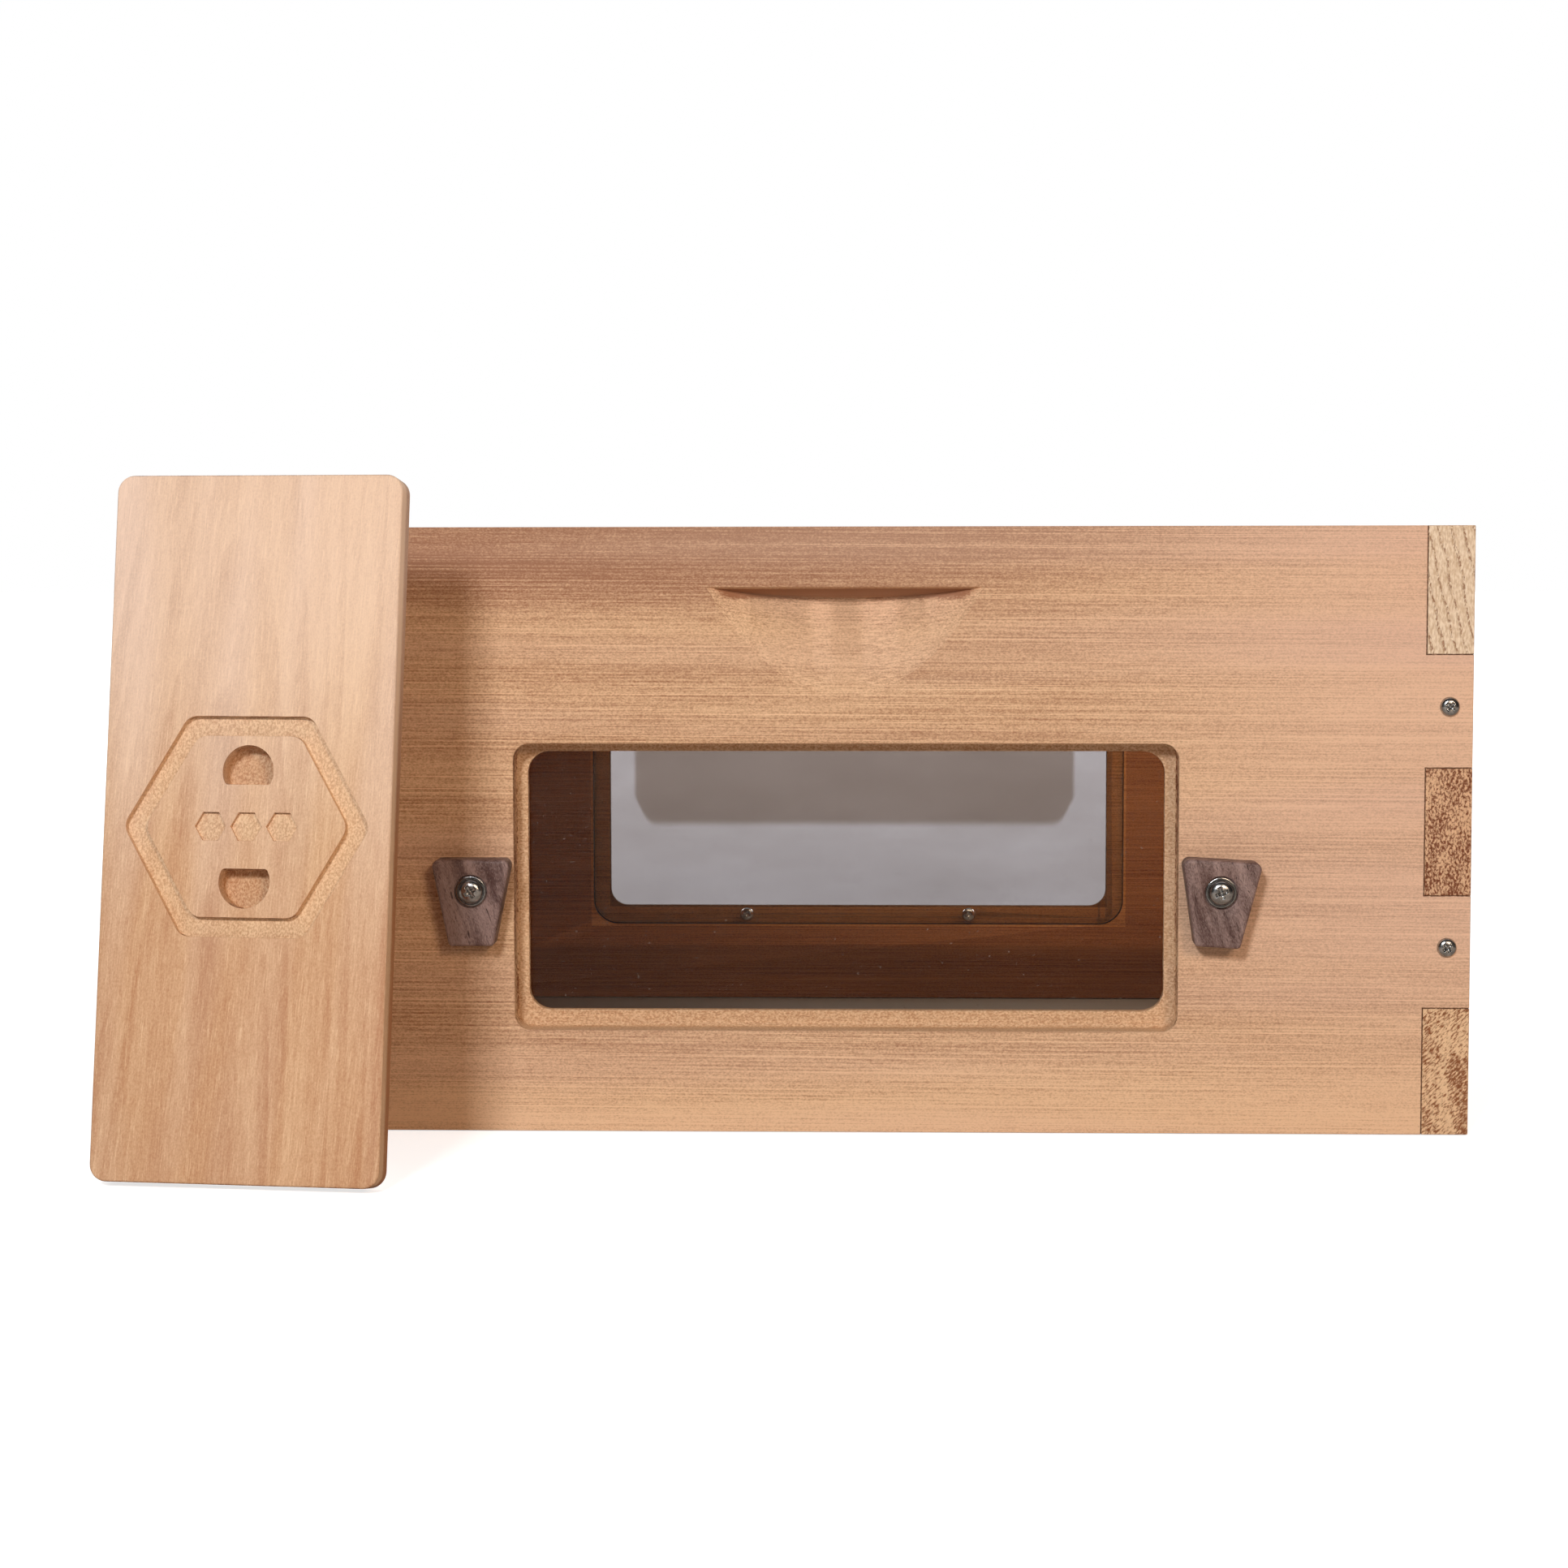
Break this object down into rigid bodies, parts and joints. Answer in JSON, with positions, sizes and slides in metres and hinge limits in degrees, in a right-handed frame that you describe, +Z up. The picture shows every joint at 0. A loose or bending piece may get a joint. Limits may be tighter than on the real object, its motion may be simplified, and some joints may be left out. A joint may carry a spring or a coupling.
{
  "type": "beehive body with observation windows",
  "caption": "Finger-jointed wooden beehive body with a glazed window in each long side, loose wooden shutters, walnut turn buttons and a row of top bars.",
  "frame": {"origin": "centre of the hive body's footprint, at the bottom rim", "axes": "+X along the long side, to the right as seen from the pictured side; -Y out of the pictured side; +Z up"},
  "size_m": [0.5376, 0.7036, 0.268],
  "materials": {
    "pine": "bare planed softwood with straight fine grain and routed edges",
    "bar_pine": "bare sawn softwood",
    "walnut": "oiled walnut with softened corners",
    "steel": "bright stainless steel",
    "pane": "clear sheet with a faint grey tint"
  },
  "bodies": {
    "hive_body": {"front_board": "pine", "back_board": "pine", "left_end_board": "pine", "right_end_board": "pine", "front_window_pane": "pane", "back_window_pane": "pane", "front_pane_screws": "steel", "back_pane_screws": "steel", "front_corner_screws": "steel", "back_corner_screws": "steel", "front_latch_washers": "steel", "back_latch_washers": "steel", "front_latch_screws": "steel", "back_latch_screws": "steel"},
    "front_left_latch": {"front_left_latch": "walnut"},
    "front_right_latch": {"front_right_latch": "walnut"},
    "back_left_latch": {"back_left_latch": "walnut"},
    "back_right_latch": {"back_right_latch": "walnut"},
    "front_window_shutter": {"front_window_shutter": "pine"},
    "back_window_shutter": {"back_window_shutter": "pine"},
    "top_bar_1": {"top_bar_1": "bar_pine"},
    "top_bar_2": {"top_bar_2": "bar_pine"},
    "top_bar_3": {"top_bar_3": "bar_pine"},
    "top_bar_4": {"top_bar_4": "bar_pine"},
    "top_bar_5": {"top_bar_5": "bar_pine"},
    "top_bar_6": {"top_bar_6": "bar_pine"},
    "top_bar_7": {"top_bar_7": "bar_pine"},
    "top_bar_8": {"top_bar_8": "bar_pine"},
    "top_bar_9": {"top_bar_9": "bar_pine"},
    "top_bar_10": {"top_bar_10": "bar_pine"}
  },
  "joints": [
    {"name": "front_left_latch_turn", "type": "hinge", "parent": "hive_body", "child": "front_left_latch", "pos_m": [-0.152, -0.2125, 0.1003], "axis": [0, -1, 0], "continuous": true},
    {"name": "front_right_latch_turn", "type": "hinge", "parent": "hive_body", "child": "front_right_latch", "pos_m": [0.152, -0.2125, 0.1003], "axis": [0, 1, 0], "continuous": true},
    {"name": "back_left_latch_turn", "type": "hinge", "parent": "hive_body", "child": "back_left_latch", "pos_m": [-0.152, 0.2125, 0.1003], "axis": [0, -1, 0], "continuous": true},
    {"name": "back_right_latch_turn", "type": "hinge", "parent": "hive_body", "child": "back_right_latch", "pos_m": [0.152, 0.2125, 0.1003], "axis": [0, 1, 0], "continuous": true},
    {"name": "front_shutter_lift", "type": "slide", "parent": "hive_body", "child": "front_window_shutter", "axis": [0, 0, 1], "range_m": [0, 0.3]},
    {"name": "back_shutter_swing", "type": "hinge", "parent": "hive_body", "child": "back_window_shutter", "pos_m": [0, 0.2065, 0], "axis": [1, 0, 0], "range_deg": [0, 90]},
    {"name": "top_bar_1_lift", "type": "slide", "parent": "hive_body", "child": "top_bar_1", "axis": [0, 0, 1], "range_m": [0, 0.25]},
    {"name": "top_bar_2_lift", "type": "slide", "parent": "hive_body", "child": "top_bar_2", "axis": [0, 0, 1], "range_m": [0, 0.25]},
    {"name": "top_bar_3_lift", "type": "slide", "parent": "hive_body", "child": "top_bar_3", "axis": [0, 0, 1], "range_m": [0, 0.25]},
    {"name": "top_bar_4_lift", "type": "slide", "parent": "hive_body", "child": "top_bar_4", "axis": [0, 0, 1], "range_m": [0, 0.25]},
    {"name": "top_bar_5_lift", "type": "slide", "parent": "hive_body", "child": "top_bar_5", "axis": [0, 0, 1], "range_m": [0, 0.25]},
    {"name": "top_bar_6_lift", "type": "slide", "parent": "hive_body", "child": "top_bar_6", "axis": [0, 0, 1], "range_m": [0, 0.25]},
    {"name": "top_bar_7_lift", "type": "slide", "parent": "hive_body", "child": "top_bar_7", "axis": [0, 0, 1], "range_m": [0, 0.25]},
    {"name": "top_bar_8_lift", "type": "slide", "parent": "hive_body", "child": "top_bar_8", "axis": [0, 0, 1], "range_m": [0, 0.25]},
    {"name": "top_bar_9_lift", "type": "slide", "parent": "hive_body", "child": "top_bar_9", "axis": [0, 0, 1], "range_m": [0, 0.25]},
    {"name": "top_bar_10_lift", "type": "slide", "parent": "hive_body", "child": "top_bar_10", "axis": [0, 0, 1], "range_m": [0, 0.25]}
  ]
}
